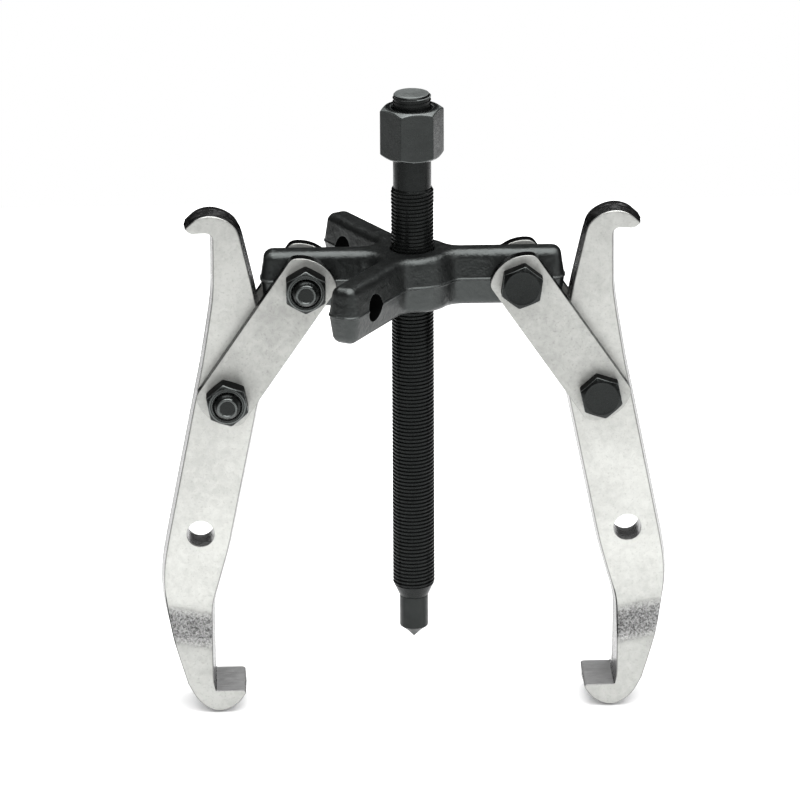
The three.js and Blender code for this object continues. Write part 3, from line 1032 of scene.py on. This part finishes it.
def build_drive_hex():
    height = HEX_TOP - HEX_BOTTOM
    rings = hex_rings(DRIVE_HEX, height, 0.94)
    points, faces = bored(rings, STUB_RADIUS + BORE_CLEARANCE, 0.8, height)
    turn = Matrix.Rotation(math.radians(90 + DRIVE_HEX_TURN), 4, "Z")
    place = Matrix.Translation((0, 0, HEX_BOTTOM)) @ turn
    hexagon = new_object("drive_hexagon", points, faces, place)
    soften(hexagon, 0.32, 20)

    def on_top_cone(middle, normal):
        return middle.z > HEX_TOP - 1.5 and 0.8 < normal.z < 0.93

    # Partly wear, partly painted reflection: the top chamfer gets the lighter end grey.
    mark_faces(hexagon, SECOND_OTHER, on_top_cone)
    dress(hexagon, BLACK_OXIDE, "drive_hex_nut", 30, [RUBBED_OXIDE, WORN_LIT_END])


def side_flat(_, normal):
    """True for the faces of a hexagon or rod that lies along Y which face away from Y."""
    return abs(normal.y) < 0.1


def build_bolt(name, node, place):
    """A hex bolt along +Y: head, shank and threaded end."""
    head_place = place @ Matrix.Translation((0, -CLAMP_FACE - BOLT_HEAD_HEIGHT, 0)) @ ALONG_Y
    thread_start = BOLT_HEAD_HEIGHT + 2 * CLAMP_FACE - 1.0
    end = BOLT_HEAD_HEIGHT + 2 * CLAMP_FACE + NUT_HEIGHT + BOLT_PROTRUSION
    hollow, collar = 0.12, BOLT_HEAD_HEIGHT - 0.35
    shank, shank_end = BOLT_RADIUS - 0.05, thread_start + 1
    washer = SMALL_HEX / 2 * 0.94
    rings = hex_rings(SMALL_HEX, collar, 0.88, 26, top_chamfer=False)
    rings.insert(0, ring_like(rings, SMALL_HEX / 2 * 0.76, hollow))
    for radius, z in ((washer, collar), (washer, BOLT_HEAD_HEIGHT),
                      (shank, BOLT_HEAD_HEIGHT), (shank, shank_end)):
        rings.append(ring_like(rings, radius, z))
    points, faces = skin(rings, start=(0, 0, hollow), end=(0, 0, shank_end))
    bolt = new_object(name, points, faces, head_place)
    soften(bolt, 0.28, 38)
    rod = thread_rod("bolt_thread", BOLT_RADIUS, BOLT_PITCH, thread_start - 2, end + 2, 32,
                     head_place)
    outside = BOLT_RADIUS + 0.02
    combine(rod, "INTERSECT", turned("bolt_envelope", [
        (0, thread_start), (BOLT_RADIUS - 0.8, thread_start), (outside, thread_start + 0.8),
        (outside, end - 1.5), (4.1, end - 0.7), (3.6, end - 0.1), (3.3, end),
        (3.0, end - 0.05), (2.7, end - 0.35), (0, end - 0.35)], 64, place=head_place))
    combine(bolt, "UNION", rod)
    back = head_place.inverted()

    def on_end_rim(middle, normal):
        return (back @ middle).z > end - 0.3 and abs(normal.y) < 0.99

    # Painted shade: the flats of the head and the sides of the rod get the black that mirrors
    # almost nothing.
    mark_faces(bolt, SECOND_OTHER, side_flat)
    mark_faces(bolt, FIRST_OTHER, on_end_rim)
    dress(bolt, BLACK_FASTENER, node, 28, [RUBBED_OXIDE, SHADE_BLACK])


def build_nut(name, node, place):
    rings = hex_rings(SMALL_HEX, NUT_HEIGHT)
    points, faces = bored(rings, BOLT_RADIUS + 0.1, 0.75, NUT_HEIGHT)
    nut_place = place @ Matrix.Translation((0, CLAMP_FACE, 0)) @ ALONG_Y
    nut = new_object(name, points, faces, nut_place)
    soften(nut, 0.28, 20)
    # Painted shade: the nut's flats get the black that mirrors almost nothing.
    mark_faces(nut, SECOND_OTHER, side_flat)
    dress(nut, BLACK_FASTENER, node, 30, [RUBBED_OXIDE, SHADE_BLACK])


# -------------------- links

LINK_SPACING = 3.0


def link_outline():
    """A link from the front, hanging from (0, 0), anticlockwise with x to the right."""
    centre_drop = LINK_END_REACH - LINK_END_RADIUS
    spread = math.asin(LINK_HALF_WIDTH / LINK_END_RADIUS)
    up = math.pi / 2
    top = arc((0, centre_drop), LINK_END_RADIUS, up - spread, up + spread, 5)
    bottom = arc((0, -LINK_LENGTH - centre_drop), LINK_END_RADIUS, -up - spread, -up + spread, 5)
    line = tidy_loop(top + bottom)
    for corner in (top[0], top[-1], bottom[0], bottom[-1]):
        line = round_corner(line, corner, 1.6)
    return resample(line, LINK_SPACING)


def upright(x, y, height):
    """A point of a plate that stands in the XZ plane, height in front of it."""
    return (x, -height, y)


def build_link(name, node, place):
    holes = [hole_loop(0), hole_loop(LINK_LENGTH)]
    link = plate(name, link_outline(), holes, rounding(0.35, 3), rounding(0.3, 2),
                 lambda x, y: LINK_THICKNESS / 2, LINK_SPACING, upright, place)
    dress(link, PLATED_LINK, node, 40)


# -------------------- jaws


def jaw_outline():
    """The right jaw from the front, from its pivot, anticlockwise; x away from the screw."""
    line = [UPPER_ELBOW]
    line += catmull([line[-1], (14.4, 45), (12.8, 34), (12.0, 12), (12.0, 0)], 6)
    line.append(OUTER_BEND)
    line += catmull([line[-1], (11.7, -72), (9.2, -84), (3.2, -98.5), (-5.0, -114.6)], 6)
    line += catmull([line[-1], (-10.0, -120.3), (-14.9, -122.9), (-18.6, -123.4),
                     (-23.0, -121.7), (-26.8, -117.8), HOOK_TIP], 5)
    line.append(GRIP_INNER)
    line += [INNER_LOWER_BEND, INNER_BEND, (-12.5, 0)]
    line += catmull([line[-1], (-11.9, 12), (-8.8, 26), (-3.6, 39.9), (3.8, 57)], 6)
    line += catmull([line[-1], (7.2, 63.6), (12.3, 66.7), (18.6, 67.2), (24, 64.6), UPPER_TIP], 5)
    line.append(HOOK_LIP)
    line = tidy_loop(line)[::-1]
    for corner, reach in ((HOOK_TIP, 3.2), (GRIP_INNER, 0.7), (UPPER_TIP, 1.0), (HOOK_LIP, 1.5),
                          (UPPER_ELBOW, 1.8), (INNER_BEND, 6), (OUTER_BEND, 3),
                          (INNER_LOWER_BEND, 4)):
        line = round_corner(line, corner, reach)
    return resample(line, 2.5)


def jaw_half(_, z):
    """Half the jaw's thickness at a height; the ramp to the hook is a soft S."""
    start, end = RAMP_START - RAMP_BLEND, RAMP_END + RAMP_BLEND
    share = min(1.0, max(0.0, (-start - z) / (end - start)))
    share = share * share * (3 - 2 * share)
    return JAW_HALF_THICKNESS + (HOOK_HALF_WIDTH - JAW_HALF_THICKNESS) * share


def gap_to_line(point, start, end):
    """How far a 2-D point is from the stretch between two others."""
    along = (end[0] - start[0], end[1] - start[1])
    reach = (point[0] - start[0]) * along[0] + (point[1] - start[1]) * along[1]
    share = min(1.0, max(0.0, reach / (along[0] ** 2 + along[1] ** 2)))
    return math.dist(point, between(start, end, share))


def draft_share(point):
    """How much of the forging draft a point of the jaw's outline has: little on the
    ground gripping face, and less than the rest on the thin upper lip."""
    fade = 4
    near_grip = max(0.0, 1 - gap_to_line(point, HOOK_TIP, GRIP_INNER) / fade)
    near_lip = max(0.0, 1 - gap_to_line(point, UPPER_TIP, HOOK_LIP) / fade)
    return 1 - 0.7 * near_grip - 0.5 * near_lip


def build_jaw(name, node, place):
    """A drop forging: its sides fall back both ways from a parting line at mid thickness."""
    ridge, draft, edge = 0.15, 0.7, 0.6
    profile = [(0, -0.15), (ridge, -0.5)] + rounding(edge, 4, ridge + draft)
    holes = [hole_loop(0), hole_loop(SPARE_HOLE_DROP)]
    outline = jaw_outline()
    shares = [draft_share(point) for point in outline]
    spacing = 1.6
    jaw = plate(name, outline, holes, profile, rounding(0.2, 2), jaw_half, spacing, upright,
                place, shares)
    dress(jaw, PLATED_FORGING, node, 50)


# -------------------- assembly


def about_y(degrees):
    return Matrix.Rotation(math.radians(degrees), 4, "Y")


def build_side(side):
    """One side's links, bolts, nuts and jaw, each hung from the piece before."""
    turn = Matrix.Identity(4) if side == "right" else Matrix.Rotation(math.pi, 4, "Z")
    hand = -1 if side == "right" else 1
    links = turn @ Matrix.Translation(LINK_PIVOT) @ about_y(-LINK_ANGLE)
    plate_centre = LINK_INNER_FACE + LINK_THICKNESS / 2
    for where, sign in (("front", hand), ("rear", -hand)):
        place = links @ Matrix.Translation((0, sign * plate_centre, 0))
        build_link(f"{side}_{where}_strap", f"{side}_{where}_link", place)
    for level, drop in (("upper", 0), ("lower", -LINK_LENGTH)):
        hex_turn = hand * HEX_TURNS[f"{side}_{level}"]
        place = links @ Matrix.Translation((0, 0, drop)) @ about_y(LINK_ANGLE + hex_turn)
        build_bolt(f"{side}_{level}_hex_bolt", f"{side}_{level}_bolt", place)
        build_nut(f"{side}_{level}_hex_nut", f"{side}_{level}_nut", place)
    jaw = links @ Matrix.Translation((0, 0, -LINK_LENGTH)) @ about_y(LINK_ANGLE - JAW_ANGLE)
    build_jaw(f"{side}_puller_jaw", f"{side}_jaw", jaw)


build_yoke()
build_screw()
build_drive_hex()
build_tip()
build_ring()
build_ball()
build_side("right")
build_side("left")

# -------------------- floor, backdrop and lights


def make_floor():
    """A pale sheet with painted shade: its colour darkens towards its front and sides, where the
    plates mirror it.
    """
    half, front, rear = 1.5, -2.5, 0.62
    mesh = bpy.data.meshes.new("floor")
    mesh.from_pydata([(-half, front, 0), (half, front, 0), (half, rear, 0), (-half, rear, 0)], [],
                     [(0, 1, 2, 3)])
    floor = bpy.data.objects.new("floor", mesh)
    bpy.context.scene.collection.objects.link(floor)
    material, nodes = new_material("paper_floor")
    along = nodes.add("ShaderNodeSeparateXYZ", {"Vector": nodes.place()}).outputs
    to_front = nodes.ramp(along["Y"], -0.75, -0.22, 0.4, 1.0)
    to_left = nodes.ramp(along["X"], -0.6, -0.25)
    to_right = nodes.ramp(along["X"], 0.28, 0.55, 1.0, 0.25)
    to_sides = nodes.math("MINIMUM", to_left, to_right)
    tone = nodes.mix(nodes.math("MINIMUM", to_front, to_sides), grey(0.30), grey(0.92))
    nodes.surface(nodes.add("ShaderNodeBsdfPrincipled", {
        "Base Color": tone,
        "Roughness": 0.9,
        "Specular IOR Level": 0.1,
    }))
    mesh.materials.append(material)


def area_light(name, place, aim, size, power):
    light = bpy.data.lights.new(name, "AREA")
    light.shape = "RECTANGLE"
    light.size, light.size_y = size
    light.energy = power
    obj = bpy.data.objects.new(name, light)
    obj.location = place
    obj.rotation_euler = (Vector(aim) - Vector(place)).to_track_quat("-Z", "Y").to_euler()
    bpy.context.scene.collection.objects.link(obj)
    return obj


MATT_LIGHT = 1.45
MIRRORED_LIGHT = 0.010
OVERHEAD_PLACE, OVERHEAD_AIM, OVERHEAD_SIZE = (0.3, -0.45, 2.5), (0.3, -0.45, 0), (3.0, 3.7)
SHEEN_PLACE = (0.3, -0.45, 2.52)


def make_world():
    """A pale room to look at; what the metal mirrors above the floor is darker."""
    world = bpy.data.worlds.new("studio")
    bpy.context.scene.world = world
    world.use_nodes = True
    nodes = Nodes(world.node_tree)
    seen = nodes.add("ShaderNodeLightPath").outputs["Is Camera Ray"]
    matt = nodes.add("ShaderNodeLightPath").outputs["Is Diffuse Ray"]
    strength = nodes.plus(nodes.times(matt, MATT_LIGHT), MIRRORED_LIGHT)
    strength = nodes.math("MAXIMUM", strength, seen)
    room = nodes.add("ShaderNodeBackground", {"Color": grey(1.0), "Strength": strength})
    nodes.add("ShaderNodeOutputWorld", {"Surface": room.outputs[0]})


make_floor()
make_world()
area_light("overhead", OVERHEAD_PLACE, OVERHEAD_AIM, OVERHEAD_SIZE, 62)
sheen = area_light("overhead_sheen", SHEEN_PLACE, OVERHEAD_AIM, OVERHEAD_SIZE, 120)
sheen.visible_diffuse = False
area_light("right_fill", (1.6, -0.9, 0.9), (0, 0, 0.12), (0.8, 1.0), 5)

view = bpy.context.scene.view_settings
view.view_transform = "Standard"
view.look = "None"
